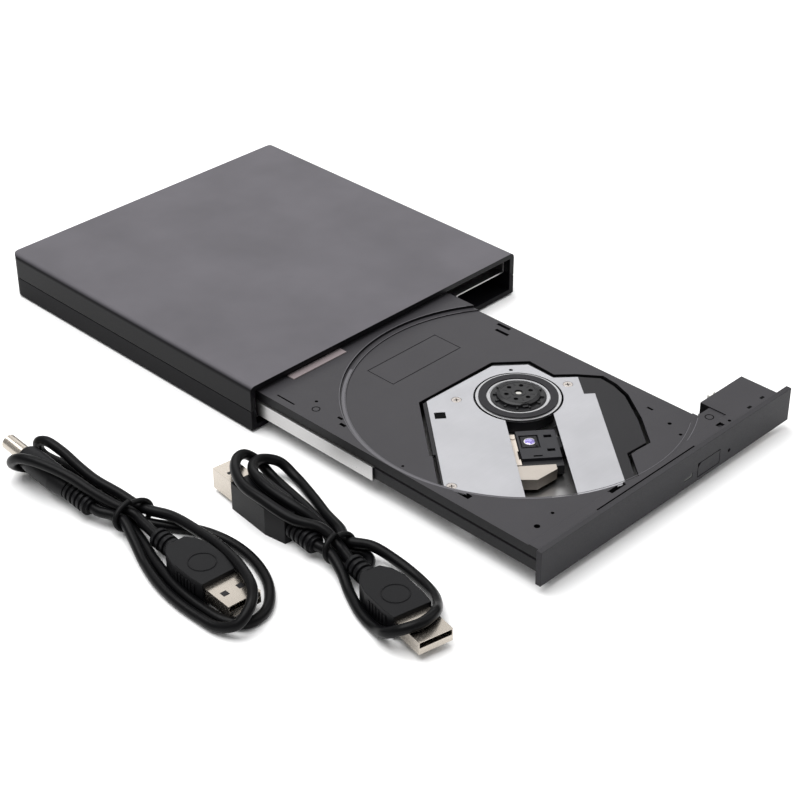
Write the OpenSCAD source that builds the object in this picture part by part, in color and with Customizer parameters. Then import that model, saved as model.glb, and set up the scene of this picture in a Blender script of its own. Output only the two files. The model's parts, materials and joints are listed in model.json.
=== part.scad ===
// External slim optical drive: a notebook tray-load drive in a two-shell enclosure,
// with its power lead and its data lead. The tray is drawn fully out.
// +X is to the right seen from the front, the bezel faces -Y, +Z is up, z = 0 is the table.

/* [Enclosure] */
// Outside width of the enclosure
case_w = 133; // [132.4:0.2:134]
// Outside depth of the enclosure
case_d = 136; // [136:1:140]
// Height of the two shells together, without the feet
case_h = 17.2; // [17.2:0.1:18.5]
// Radius of the enclosure's upright corners
case_corner_r = 3.5; // [2:0.5:5]
// Radius along the upper side edges
case_edge_r = 2; // [1:0.5:3]
// Height of the parting line above the table
split_z = 8.2; // [7.5:0.1:9]
// Gap between the shells along the parting line
split_gap = 0.3; // [0.2:0.05:0.4]
// Thickness of the rubber feet
foot_h = 0.8; // [0.8:0.1:1.5]
// Radius of the rubber feet
foot_r = 5; // [3:0.5:7]

/* [Drive] */
// Width of the slim drive and its bezel
drive_w = 128; // [127:0.5:128]
// Height of the slim drive and its bezel
drive_h = 12.7; // [12.7:0.1:12.7]
// Travel of the tray from closed to fully out
travel = 128; // [120:1:128]
// Sheet thickness of the drive's steel pan
pan_t = 0.5; // [0.4:0.1:0.5]

/* [Tray] */
// Radius of the disc recess
recess_r = 60.5; // [60.3:0.1:60.5]
// Height of the recess floor above the table
floor_z = 13.2; // [13.2:0.1:13.3]
// Height of the tray's rim above the table
rim_z = 14.6; // [14.3:0.1:14.8]

/* [Pickup] */
// Angle of the sled's travel, counter-clockwise from +X
sled_angle = 230.4; // [229:0.2:232]
// Distance from the spindle to the lens at rest
lens_s = 24.8; // [24.4:0.1:25.4]
// Radius of the turntable
turntable_r = 14.6; // [14:0.1:14.7]
// Radius of the hub that centres the disc
hub_r = 7.4; // [7.3:0.05:7.45]

/* [Leads] */
// Diameter of the round cord
cord_d = 3.5; // [3.3:0.1:4.4]
// Radius of the power plug's barrel
barrel_r = 2.75; // [2.7:0.05:2.75]

/* [Hidden] */
$fn = 48;
eps = 0.01;

// Enclosure, from the driving sizes
total_l = case_d + travel;
bezel_y = -total_l / 2;
mouth_y = bezel_y + travel;
back_y = total_l / 2;
case_x = case_w / 2;
case_z0 = foot_h;
case_z1 = foot_h + case_h;
floor_t = 2;
roof_t = 1.9;
wall_t = 2;
cavity_x = drive_w / 2 + 0.3;
cavity_z0 = case_z0 + floor_t;
cavity_z1 = case_z1 - roof_t;
lip_t = 1;
lip_h = 1.3;

// Drive pan: deep on the left, a shallow ledge over the bridge board on the right
pan_x = drive_w / 2;
pan_z0 = cavity_z0 + 0.3;
drive_z1 = pan_z0 + drive_h;
pan_floor = pan_z0 + pan_t;
pan_y0 = mouth_y + 2.8;
pan_y1 = back_y - 4.1;
pan_top = 15.25;
cover_t = 0.4;
step_x = 38.4;
ledge_z = 9.9;
notch_x = 41;
notch_y = back_y - 27;

// Tray
tray_x0 = -62.4;
tray_x1 = 31.2;
tray_y0 = bezel_y + 2;
tray_y1 = mouth_y + 3;
skirt_z0 = 5.9;
deck_z0 = 12.2;
strip_z = 15;
rail_z = 8.25;
lobe_x0 = 36.4;
lobe_x1 = 59.4;
lobe_y1 = -114.7;
lobe_z0 = 10.3;
hook_x = 46.8;
hook_y = -121;

// Spindle and sled, in a frame at the spindle whose X runs along the sled's travel
hub_x = -1.5;
hub_y = bezel_y + 65;
frame_z0 = 11.9;
frame_z1 = 12.9;
plate_t = 0.3;
rod_r = 1;
rod_p = [-9, 12.5];
rod_end = [64.5, 62.5];
rod_z = 9.2;
screw_p = 16.5;
screw_z = 9.3;
damper_sp = [[-0.3, -21.1], [-6, 18], [49.2, -28.8]];
post_sp = [[-11.6, 11.6], [-11.6, -11.6], [4, -15.9]];
opening = [
    [0, -33.9], [-22.7, -6], [-22.1, 7.4], [-12.6, 14.3], [-12.1, 21.9], [-10, 31], [-4.3, 34.7],
    [2.6, 37.3], [17.6, 38.9], [31.7, 38.8], [37.5, 31.2], [62, 31.2], [62, -33], [32, -33], [32, -33.9]
];
frame_outline = [
    [0.5, -32.6], [-21.4, -5.4], [-20.9, 6.8], [-11.4, 13.6], [-10.9, 21.4], [-8.9, 30], [-3.8, 33.4],
    [3, 36], [17.8, 37.5], [31.2, 37.4], [36.6, 30], [62, 30], [62, -31.8], [31, -31.8], [31, -32.6]
];
plate_outline = [
    [-20.3, -6.2], [-19.9, 6.4], [-10.6, 13.8], [-10.2, 22.2], [0.6, 22.4], [0.6, 26.2],
    [62, 26.2], [62, -31.2], [-0.4, -31.2]
];

// Rear sockets
usb_b_x = 49;
usb_b_z = 10;
jack_x = 59.6;
jack_z = 8.3;
jack_bore_r = 2.85;

// Leads: plug places, and the routes of the two short tails between a plug and its hank
dc_end = [-135.2, -5, 5];
dc_turn = -1;
dc_tilt = 4;
power_usb_x = -130.4;
power_usb_y = -31.5;
power_usb_turn = -4;
usb_b_plug = [-98.8, -70.5];
usb_b_plug_turn = -6;
data_usb = [-97, -84.5];
data_usb_turn = -11.5;
hank_z0 = 1.4;
hank_z1 = 9;
// Ties round the hanks: x from, x to, middle y
ties = [[-134.6, -120.8, -17.5], [-99.6, -90, -76.5]];
tie_w = 2.2;
tie_t = 1.2;
power_tail = [
    [-135.2, -5, 5], [-135.3, -7, 5], [-134.9, -9, 5], [-134, -11, 5], [-133.3, -13, 5], [-133.2, -14.5, 5]
];
data_tail = [[-98.8, -70.5, 5], [-98.7, -72, 5], [-98.6, -73.3, 5], [-98.6, -74.5, 5]];

function unit(v) = v / norm(v);
function tangent(path, i) =
    unit(path[min(i + 1, len(path) - 1)] - path[max(i - 1, 0)]);
function ring(path, i, r, n) =
    let (t = tangent(path, i), side = unit(cross(t, [0, 0, 1])), up = cross(side, t))
    [for (k = [0:n - 1]) path[i] + r * (cos(360 * k / n) * side + sin(360 * k / n) * up)];

// A cord's stretch: one closed skin of rings along its route
module tube(path, r, n = 8) {
    last = len(path) - 1;
    points = [for (i = [0:last]) each ring(path, i, r, n)];
    sides = [for (i = [0:last - 1], k = [0:n - 1])
        [i * n + k, i * n + (k + 1) % n, (i + 1) * n + (k + 1) % n, (i + 1) * n + k]];
    start = [[for (k = [n - 1:-1:0]) k]];
    end = [[for (k = [0:n - 1]) last * n + k]];
    polyhedron(points, concat(start, sides, end));
}

module block(low, high) {
    translate(low) cube(high - low);
}

// A cylinder along Z, from z0 to z1
module rod(x, y, z0, z1, r) {
    translate([x, y, z0]) cylinder(r = r, h = z1 - z0);
}

// A cylinder along +Y, from y0 to y1
module rod_y(x, z, y0, y1, r) {
    translate([x, y0, z]) rotate([-90, 0, 0]) cylinder(r = r, h = y1 - y0);
}

module rounded_rect(x0, x1, y0, y1, r) {
    translate([x0 + r, y0]) square([x1 - x0 - 2 * r, y1 - y0]);
    translate([x0, y0 + r]) square([x1 - x0, y1 - y0 - 2 * r]);
    for (x = [x0 + r, x1 - r], y = [y0 + r, y1 - r]) translate([x, y]) circle(r);
}

// Children are drawn in the spindle's frame: X along the sled's travel, Y across it
module at_spindle() {
    translate([hub_x, hub_y, 0]) rotate([0, 0, sled_angle]) children();
}

// A cylinder along the sled's travel, in the spindle's frame
module rod_s(p, z, s0, s1, r) {
    translate([s0, p, z]) rotate([0, 90, 0]) cylinder(r = r, h = s1 - s0);
}

// ---- Enclosure ----

module case_outline() {
    rounded_rect(-case_x, case_x, mouth_y, back_y, case_corner_r);
    translate([-case_x, mouth_y]) square([case_w, case_corner_r + 1]);
}

// Section across the width, with the upper edges rounded
module case_section() {
    translate([-case_x, case_z0]) square([case_w, case_h - case_edge_r]);
    translate([-case_x + case_edge_r, case_z0]) square([case_w - 2 * case_edge_r, case_h]);
    for (x = [-1, 1]) translate([x * (case_x - case_edge_r), case_z1 - case_edge_r]) circle(case_edge_r);
}

module case_body() {
    intersection() {
        linear_extrude(case_z1 + 1) case_outline();
        translate([0, back_y + 1, 0]) rotate([90, 0, 0]) linear_extrude(case_d + 2) case_section();
    }
}

module case_cavity() {
    block([-cavity_x, mouth_y - 1, cavity_z0], [cavity_x, back_y - wall_t, cavity_z1]);
}

// The two sockets' windows through the rear wall
module rear_windows() {
    block([usb_b_x - 6.3, back_y - 3, usb_b_z - 5.7], [usb_b_x + 6.3, back_y + 1, usb_b_z + 5.7]);
    rod_y(jack_x, jack_z, back_y - 3, back_y + 1, 3.6);
}

// The tongue on the lower shell, or with a margin the groove for it in the upper one
module shell_lip(margin) {
    x = cavity_x + lip_t + margin;
    difference() {
        block([-x, mouth_y - margin, split_z - eps], [x, back_y - wall_t + lip_t + margin, split_z + lip_h + margin]);
        block([-cavity_x, mouth_y - 2, 0], [cavity_x, back_y - wall_t, 20]);
    }
}

case_screw_xy = [[-56, 22], [-56, 108], [28, 22], [28, 108]];

module case_bottom() {
    color([0.13, 0.13, 0.14])
    difference() {
        union() {
            intersection() {
                case_body();
                block([-100, -100, 0], [100, 200, split_z]);
            }
            shell_lip(0);
        }
        difference() {
            case_cavity();
            for (x = [-40, 20], y = [10, 100]) block([x - 6, y - 3, 0], [x + 6, y + 3, pan_z0]);
            for (x = [43, 61], y = [66, 108]) rod(x, y, 0, 3.4, 1.8);
        }
        rear_windows();
        for (p = case_screw_xy) {
            rod(p[0], p[1], 0, 4, 1.1);
            rod(p[0], p[1], 0, case_z0 + 1.1, 2.1);
        }
        for (i = [0:4]) block([44 + 3.6 * i, 20, 0], [45.6 + 3.6 * i, 44, 4]);
    }
}

module case_top() {
    color([0.2, 0.2, 0.21])
    difference() {
        intersection() {
            case_body();
            block([-100, -100, split_z + split_gap], [100, 200, 30]);
        }
        difference() {
            case_cavity();
            for (x = [-45, 20]) block([x - 1, 20, pan_top + cover_t], [x + 1, 96, 20]);
        }
        shell_lip(0.1);
        rear_windows();
    }
}

module rubber_feet() {
    color([0.05, 0.05, 0.05])
    for (x = [-50, 50], y = [mouth_y + 14, back_y - 14]) rod(x, y, 0, foot_h, foot_r);
}

module case_screws() {
    color([0.5, 0.5, 0.52])
    for (p = case_screw_xy) translate([p[0], p[1], case_z0 + 0.15]) difference() {
        union() {
            cylinder(r = 1.9, h = 0.95);
            cylinder(r = 0.95, h = 3.6);
        }
        for (a = [0, 90]) rotate([0, 0, a]) translate([-1.1, -0.2, -1]) cube([2.2, 0.4, 1.5]);
    }
}

// ---- Fixed parts of the drive ----

module chassis_pan() {
    t = pan_t;
    color([0.75, 0.75, 0.76])
    difference() {
        union() {
            block([-pan_x, pan_y0, pan_z0], [step_x, pan_y1, pan_floor]);
            block([-pan_x, pan_y0, pan_floor], [-pan_x + t, pan_y1, pan_top]);
            block([step_x - t, pan_y0, pan_floor], [step_x, pan_y1, ledge_z]);
            block([step_x, pan_y0, ledge_z - t], [pan_x, notch_y, ledge_z]);
            block([step_x, notch_y, ledge_z - t], [notch_x, pan_y1, ledge_z]);
            block([pan_x - t, pan_y0, ledge_z], [pan_x, notch_y, pan_top]);
            block([notch_x - t, notch_y - t, ledge_z], [pan_x - t, notch_y, pan_top]);
            block([notch_x - t, notch_y, ledge_z], [notch_x, pan_y1, pan_top]);
            block([-pan_x + t, pan_y1 - t, pan_floor], [step_x - t, pan_y1, pan_top]);
            block([step_x - t, pan_y1 - t, ledge_z], [notch_x - t, pan_y1, pan_top]);
            for (p = case_screw_xy) rod(p[0], p[1], pan_floor, 4.8, 2);
            for (x = [-48, 18], y = [84, 118]) rod(x, y, pan_floor, 3.9, 1.5);
            block([48.6, 14, ledge_z], [50.6, 15.2, 13]);
        }
        for (p = case_screw_xy) rod(p[0], p[1], 0, 10, 1);
        block([step_x - 1, 68, 4.2], [step_x + 1, 96, 8.8]);
        for (y = [20, 50]) block([-30, y, 0], [0, y + 12, pan_floor + 1]);
    }
}

module drive_cover() {
    color([0.78, 0.78, 0.79])
    difference() {
        block([-pan_x, pan_y0 + 0.4, pan_top], [pan_x, pan_y1, pan_top + cover_t]);
        block([notch_x, notch_y, 0], [100, 200, 30]);
        for (x = [-58, 58], y = [8, 60, 100]) rod(x, y, 0, 30, 1.1);
    }
}

module rail_guides() {
    color([0.1, 0.1, 0.1]) {
        block([-63.4, 2, pan_floor], [-61.3, 124, 5.3]);
        block([30, 2, pan_floor], [33.8, 124, 5.3]);
        block([32.3, 2, 5.3], [33.8, 124, 11.5]);
    }
}

module main_board() {
    color([0.05, 0.3, 0.15]) {
        block([-52, 80, 3.9], [22, 122, 4.5]);
        for (c = [[-40, 92, 7], [-20, 100, 9], [4, 92, 6], [10, 112, 3.5], [-44, 112, 4]])
            block([c[0] - c[2], c[1] - c[2], 4.5], [c[0] + c[2], c[1] + c[2], 5]);
    }
}

module flex_cable() {
    color([0.85, 0.8, 0.7])
    block([-10, 64.5, pan_floor], [10, 80, 3.75]);
}

module bridge_board() {
    color([0.05, 0.3, 0.15]) {
        block([40, 62, 3.4], [63.6, back_y - wall_t - 0.3, 4.6]);
        block([48, 76, 4.6], [57, 85, 5.8]);
        block([50, 96, 4.6], [54, 106, 7]);
        for (y = [66, 70, 90, 94]) block([58, y, 4.6], [60, y + 1.2, 5.4]);
    }
}

module slim_connector() {
    color([0.08, 0.08, 0.08])
    difference() {
        block([36.4, 69, 4.6], [45, 95, 8.4]);
        block([36, 71, 5.8], [41, 93, 7.2]);
    }
}

module usb_b_socket() {
    color([0.8, 0.8, 0.8])
    difference() {
        block([usb_b_x - 6, back_y - 16.1, 4.6], [usb_b_x + 6, back_y - 0.1, 15.4]);
        block([usb_b_x - 4.25, back_y - 9.1, usb_b_z - 3.9], [usb_b_x + 4.25, back_y + 1, usb_b_z + 3.9]);
    }
}

module usb_b_insert() {
    color([0.9, 0.9, 0.88])
    block([usb_b_x - 2.8, back_y - 9.1, usb_b_z - 1.6], [usb_b_x + 2.8, back_y - 1, usb_b_z + 1.6]);
}

module dc_jack() {
    y0 = back_y - 14;
    y1 = back_y - wall_t;
    color([0.08, 0.08, 0.08]) {
        difference() {
            block([jack_x - 3.8, y0, 4.6], [jack_x + 3.8, y1, 12]);
            rod_y(jack_x, jack_z, y0 + 2, y1 + 1, jack_bore_r);
        }
        rod_y(jack_x, jack_z, y0 + 2, y1 - 0.5, 0.95);
    }
}

// ---- Telescopic rails ----

// One rail: a steel channel open towards the tray, its web at negative X
module rail_channel() {
    y0 = mouth_y - 55;
    y1 = mouth_y + 65;
    block([-63.2, y0, 5.6], [-62.7, y1, 10.9]);
    for (z = [5.6, 10.45]) block([-62.7, y0, z], [-61.5, y1, z + 0.45]);
}

rail_mid_x = (tray_x0 + tray_x1) / 2;

module rail_left() {
    color([0.82, 0.82, 0.83]) rail_channel();
}

module rail_right() {
    color([0.82, 0.82, 0.83])
    translate([rail_mid_x, 0, 0]) mirror([1, 0, 0]) translate([-rail_mid_x, 0, 0]) rail_channel();
}

// ---- Tray ----

module tray_outline() {
    translate([tray_x0, tray_y0]) square([tray_x1 - tray_x0, tray_y1 - tray_y0]);
    translate([tray_x1 - 1, tray_y0]) square([lobe_x0 - tray_x1 + 2, 11.5]);
}

module recess(r) {
    translate([hub_x, hub_y]) circle(r, $fn = 180);
}

// Round holes through the deck: x, y, radius
deck_holes = [
    [-52.8, -21.9, 0.6], [-58, -67.8, 0.5], [-45, -119.9, 0.6], [-53.5, -121, 1], [21.3, -113.7, 0.7],
    [18.7, -120.3, 0.6]
];
// Straight slots through the deck: middle x, middle y, length along Y, width
deck_slots = [
    [25.9, -34.7, 6, 1.3], [29.3, -32.5, 6, 1.3], [-54.3, -35, 2.2, 1], [-56.5, -38.5, 2.6, 1.2],
    [-59.3, -13.8, 8.5, 0.6], [-56.9, -92.8, 7, 2.2], [23.9, -103.4, 2.4, 0.9]
];

module tray_skirts() {
    x0 = tray_x0 + 1.4;
    x1 = tray_x1 - 1.4;
    t = 1.4;
    block([x0, tray_y0, skirt_z0], [x0 + t, tray_y1, deck_z0]);
    block([x1 - t, tray_y0, skirt_z0], [x1, tray_y1, deck_z0]);
    block([x0 + t, tray_y1 - t, skirt_z0], [x1 - t, tray_y1, deck_z0]);
    block([x0 + t, tray_y0, skirt_z0], [x1 - t, tray_y0 + t, deck_z0]);
    for (x = [tray_x0, x1]) {
        block([x, tray_y0 + 1, rail_z - 1.9], [x + t, tray_y1, rail_z + 1.9]);
        block([x, tray_y0, 11.2], [x + t, tray_y1, deck_z0]);
    }
    for (p = tray_screw_xy) rod(p[0], p[1], skirt_z0, deck_z0, 2.2);
}

module lobe() {
    t = 1.2;
    difference() {
        block([lobe_x0, tray_y0, lobe_z0], [lobe_x1, lobe_y1, strip_z]);
        block([lobe_x0 + t, tray_y0 + t, 0], [lobe_x1 - t, lobe_y1 - t, strip_z - 1.4]);
        block([44.3, lobe_y1 - 2, lobe_z0 - 1], [51, lobe_y1 + 1, 13]);
    }
}

module label_frame() {
    w = 0.35;
    for (y = [-31.4, -19]) block([-25.8, y, floor_z - 0.2], [8, y + w, floor_z + 1]);
    for (x = [-25.8, 8 - w]) block([x, -31.4, floor_z - 0.2], [x + w, -19 + w, floor_z + 1]);
}

tray_screw_xy = [[-57, -8], [25, -8], [-57.2, -124], [14, -114]];

module tray_frame() {
    color([0.28, 0.28, 0.3])
    difference() {
        union() {
            translate([0, 0, deck_z0]) linear_extrude(floor_z - deck_z0) tray_outline();
            translate([0, 0, floor_z]) linear_extrude(0.4) difference() {
                tray_outline();
                recess(recess_r - 2);
            }
            translate([0, 0, floor_z + 0.4]) linear_extrude(rim_z - floor_z - 0.4) difference() {
                tray_outline();
                recess(recess_r);
            }
            difference() {
                block([tray_x0, tray_y0, rim_z], [lobe_x0, tray_y0 + 4.6, strip_z]);
                translate([0, 0, rim_z - 1]) linear_extrude(3) recess(recess_r);
            }
            rod(hook_x, hook_y, 10.9, strip_z - 1, 0.75);
            tray_skirts();
            lobe();
        }
        at_spindle() translate([0, 0, deck_z0 - 1]) linear_extrude(5) intersection() {
            circle(recess_r - 0.4, $fn = 180);
            polygon(opening);
        }
        for (h = deck_holes) rod(h[0], h[1], deck_z0 - 1, 20, h[2]);
        for (s = deck_slots)
            block([s[0] - s[3] / 2, s[1] - s[2] / 2, deck_z0 - 1], [s[0] + s[3] / 2, s[1] + s[2] / 2, 20]);
        block([-24.6, -126.8, deck_z0 - 1], [-17.6, -124.8, 20]);
        block([-34.7, -129.5, 14], [14.4, -128.8, 20]);
        block([28.8, -128.6, 14], [31.4, -126.6, 20]);
        rod(34.3, -128.3, 14, 20, 0.6);
        label_frame();
        for (p = tray_screw_xy) rod(p[0], p[1], 0, 10.5, 0.9);
        block([5.5, tray_y0 - 1, skirt_z0 - 1], [26, tray_y0 + 2, 10.6]);
    }
}

module bezel() {
    x = drive_w / 2;
    color([0.16, 0.16, 0.17])
    difference() {
        block([-x, bezel_y, pan_z0], [x, tray_y0, drive_z1]);
        block([13.2, bezel_y - 1, 4.4], [25.2, bezel_y + 3, 10]);
        block([6.3, bezel_y - 1, 6.1], [10.5, bezel_y + 3, 7.1]);
        block([9.6, bezel_y - 1, 7], [10.5, bezel_y + 3, 7.8]);
        rod_y(30.3, 6.9, bezel_y - 1, bezel_y + 3, 0.7);
    }
}

module light_pipe() {
    color([0.75, 0.8, 0.7]) {
        block([6.35, bezel_y + 0.1, 6.15], [10.45, tray_y0 + 1, 7.05]);
        block([9.65, bezel_y + 0.1, 7.05], [10.45, tray_y0 + 1, 7.75]);
    }
}

module foam_strip() {
    color([0.65, 0.58, 0.58]) block([-49, -6.6, rim_z], [-24, -3.2, rim_z + 0.4]);
}

module tray_bottom_cover() {
    color([0.8, 0.8, 0.78])
    difference() {
        block([tray_x0 + 1.5, tray_y0 + 2, skirt_z0 - 0.5], [tray_x1 - 1.5, tray_y1 - 1, skirt_z0]);
        for (p = tray_screw_xy) rod(p[0], p[1], 0, 10, 1.95);
        for (y = [-30, -20]) block([-40, y, 0], [-10, y + 4, 10]);
        block([-58, -96.3, 0], [-55.8, -89.3, 10]);
        block([-24.6, -126.8, 0], [-17.6, -124.8, 10]);
    }
}

module tray_screws() {
    color([0.6, 0.6, 0.6])
    for (p = tray_screw_xy) {
        rod(p[0], p[1], skirt_z0 - 0.45, skirt_z0, 1.8);
        rod(p[0], p[1], skirt_z0, 9.5, 0.85);
    }
}

// ---- Pickup unit in the tray ----

module pickup_frame() {
    color([0.14, 0.14, 0.15])
    at_spindle() difference() {
        union() {
            translate([0, 0, frame_z0]) linear_extrude(frame_z1 - frame_z0) intersection() {
                circle(recess_r - 0.9, $fn = 180);
                polygon(frame_outline);
            }
            for (s = [13.5, 62.5]) block([s, -12.6, 7.2], [s + 3, -7.4, frame_z0]);
            for (s = [13.5, 60.5]) block([s, 10.9, 7.2], [s + 3, 13.8, frame_z0]);
            block([60.5, 13.8, 7.2], [63.5, 18.6, frame_z0]);
            block([16.5, -12.6, 6.6], [62.5, -11.6, frame_z0]);
            block([18.5, 18.6, 6.6], [63.5, 19.2, frame_z0]);
            block([52, -12.6, 11.3], [62.5, -11.1, frame_z0]);
            block([52, 10.9, 11.3], [60.5, 12.4, frame_z0]);
            for (p = post_sp) rod(p[0], p[1], 7, frame_z0, 1);
        }
        rod(0, 0, 0, 20, turntable_r + 0.9);
        block([10, -7.4, 11.2], [70, 10.9, 20]);
        for (i = [0, 1]) rod_s(rod_p[i], rod_z, 14.5, rod_end[i], rod_r + 0.01);
        rod_s(screw_p, screw_z, 59, 62.5, 0.65);
        for (p = damper_sp) {
            rod(p[0], p[1], 0, 20, 0.85);
            rod(p[0], p[1], frame_z1 - 0.5, 20, 1.8);
        }
    }
}

module pickup_cover_plate() {
    color([0.85, 0.85, 0.86])
    at_spindle() translate([0, 0, frame_z1]) linear_extrude(plate_t) difference() {
        intersection() {
            circle(recess_r - 0.7, $fn = 180);
            polygon(plate_outline);
        }
        circle(turntable_r + 0.7, $fn = 96);
        translate([8, -6.5]) square([60, 16.6]);
        translate([6.8, -29.6]) square([3.8, 3.8]);
        translate([-17.1, 0]) circle(0.7);
        for (p = damper_sp) translate(p) circle(1.75);
    }
}

module plate_screws() {
    color([0.8, 0.79, 0.74])
    at_spindle() for (p = damper_sp) difference() {
        union() {
            rod(p[0], p[1], 12.45, 13.15, 1.65);
            rod(p[0], p[1], 7, 12.45, 0.8);
        }
        for (a = [0, 90]) translate([p[0], p[1], 12.8]) rotate([0, 0, a]) cube([1.8, 0.35, 1], center = true);
    }
}

module dampers() {
    color([0.08, 0.08, 0.08])
    at_spindle() for (p = damper_sp) difference() {
        rod(p[0], p[1], skirt_z0, frame_z0, 2.6);
        rod(p[0], p[1], 0, 20, 0.85);
    }
}

module spindle_motor() {
    color([0.6, 0.6, 0.6])
    at_spindle() difference() {
        union() {
            rod(0, 0, 6.3, 7, 15);
            for (p = post_sp) rod(p[0], p[1], 6.3, 7, 1.8);
            rod(0, 0, 7, 11, 4.2);
            for (i = [0:8]) rotate([0, 0, 40 * i]) block([4, -1, 7.9], [10.8, 1, 9.5]);
            difference() {
                rod(0, 0, 7.6, 9.8, 11.6);
                rod(0, 0, 0, 20, 10.2);
            }
        }
        rod(0, 0, 0, 20, 2.6);
    }
}

module spindle_bush() {
    color([0.75, 0.6, 0.3])
    difference() {
        rod(hub_x, hub_y, 6.3, 11, 2.6);
        rod(hub_x, hub_y, 6.7, 20, 1.03);
    }
}

module guide_rods() {
    color([0.85, 0.85, 0.87])
    at_spindle() for (i = [0, 1]) rod_s(rod_p[i], rod_z, 14.5, rod_end[i], rod_r);
}

module sled_motor() {
    color([0.7, 0.7, 0.7])
    at_spindle() difference() {
        rod_s(screw_p, screw_z, 8.6, 17.6, 2.6);
        rod_s(screw_p, screw_z, 12, 20, 0.65);
    }
}

module front_board() {
    color([0.05, 0.3, 0.15]) {
        block([3, -127.6, 6.2], [27, -126.8, 11.8]);
        block([16, -128.5, 5.95], [22, -127.6, 9.4]);
        block([7, -128.5, 6.2], [10, -127.6, 7.4]);
    }
}

module latch_solenoid() {
    color([0.6, 0.4, 0.2]) block([52, -123, 10.8], [57.8, -117, 13.6]);
}

// ---- Turning parts of the spindle ----

module spindle_shaft() {
    color([0.85, 0.84, 0.78]) rod(hub_x, hub_y, 6.75, 14.7, 1);
}

module rotor() {
    color([0.12, 0.12, 0.13])
    difference() {
        rod(hub_x, hub_y, 7.4, 12.4, 13);
        rod(hub_x, hub_y, 0, 11.6, 12.1);
        rod(hub_x, hub_y, 0, 20, 1);
    }
}

module turntable() {
    color([0.8, 0.8, 0.8])
    difference() {
        rod(hub_x, hub_y, 12.4, 13.3, turntable_r);
        rod(hub_x, hub_y, 0, 20, 1);
    }
}

module turntable_pad() {
    color([0.1, 0.1, 0.11])
    difference() {
        rod(hub_x, hub_y, 13.3, 13.75, 13.6);
        rod(hub_x, hub_y, 0, 20, 10.9);
    }
}

module disc_hub() {
    color([0.1, 0.1, 0.11])
    translate([hub_x, hub_y, 0]) difference() {
        rotate_extrude() polygon([
            [1, 13.3], [hub_r, 13.3], [hub_r, 14.6], [hub_r - 0.9, 15.05], [2.2, 15.05], [2.2, 14.7], [1, 14.7]
        ]);
        for (i = [0:2]) rotate([0, 0, 120 * i]) block([4.6, -1.4, 13.8], [9, 1.4, 14.7]);
        for (i = [0:5]) rotate([0, 0, 60 * i + 30]) rod(4.3, 0, 14.2, 20, 0.8);
    }
}

module clamp_claws() {
    color([0.06, 0.06, 0.06])
    translate([hub_x, hub_y, 0]) for (i = [0:2]) rotate([0, 0, 120 * i])
        block([5, -1.2, 13.95], [hub_r - 0.1, 1.2, 14.5]);
}

// ---- Pickup sled ----

module pickup_carriage() {
    color([0.16, 0.16, 0.17])
    at_spindle() difference() {
        union() {
            block([18.6, -4.6, 7.2], [38, 9.4, 10.6]);
            block([20, -6.4, 10], [38, -4.6, 11.25]);
            block([20.5, -10.9, 7.5], [30, -4.6, 10.9]);
            block([22, 9.4, 7.5], [28, 14.3, 10.9]);
            block([23, 14.3, 7.2], [27, 18.2, 11]);
        }
        rod_s(rod_p[0], rod_z, 0, 50, rod_r + 0.05);
        rod_s(rod_p[1], rod_z, 0, 50, rod_r + 0.05);
        rod_s(screw_p, screw_z, 0, 50, 1.4);
        rod(lens_s, 0, 0, 20, 1.8);
    }
}

module laser_block() {
    color([0.8, 0.78, 0.74])
    at_spindle() translate([0, 0, 7.4]) linear_extrude(3.9)
        polygon([[38, -6.2], [45.4, -6.2], [46, -0.7], [40.6, 6.6], [38, 6.6]]);
}

module objective_cover() {
    color([0.2, 0.2, 0.21])
    at_spindle() difference() {
        block([18.6, -4, 10.6], [34.6, 9.2, 11.7]);
        block([19.3, -3.5, 10], [34, 8.5, 11.2]);
        block([lens_s - 3.6, -3.3, 10], [lens_s + 3.8, 3.1, 20]);
        block([21.5, 5, 10], [23, 7.6, 20]);
        block([29.5, 5, 10], [31, 7.6, 20]);
        block([32.9, 0, 10], [33.7, 3, 20]);
    }
}

module pickup_flex() {
    color([0.86, 0.78, 0.66])
    at_spindle() {
        block([20, -6.4, 11.25], [37.6, -4.4, 11.45]);
        rod(22.3, -5.4, 11.45, 11.8, 0.9);
    }
}

module lens_holder() {
    color([0.08, 0.08, 0.09])
    at_spindle() block([lens_s - 3, -2.8, 11.05], [lens_s + 3.1, 2.6, 11.6]);
}

module lens() {
    color([0.6, 0.6, 0.85, 0.6])
    at_spindle() translate([lens_s, 0, 11.6]) rotate_extrude() polygon([
        [0, 0], [1.9, 0], [1.9, 0.05], [1.6, 0.2], [1.2, 0.35], [0.7, 0.46], [0, 0.5]
    ]);
}

module lead_screw() {
    s0 = 17.9;
    pitch = 0.75;
    turns = 55;
    color([0.82, 0.82, 0.84])
    at_spindle() translate([s0, screw_p, screw_z]) rotate([0, 90, 0]) rotate_extrude($fn = 24) polygon(concat(
        [[0, -4.9], [0.6, -4.9], [0.6, 0]],
        [for (i = [0:turns - 1]) each [[1.2, pitch * i], [1, pitch * (i + 0.5)]]],
        [[1.2, pitch * turns], [0.6, pitch * turns], [0.6, 44.2], [0, 44.2]]
    ));
}

// ---- Controls ----

module eject_button() {
    color([0.15, 0.15, 0.16])
    difference() {
        union() {
            block([13.5, bezel_y, 4.7], [24.9, tray_y0 + 0.2, 9.7]);
            block([18, tray_y0 + 0.2, 6.6], [20, tray_y0 + 0.5, 8.6]);
        }
        translate([13.5, bezel_y - 1, 9.7]) rotate([0, 45, 0]) cube([2, 5, 2], center = true);
    }
}

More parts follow.
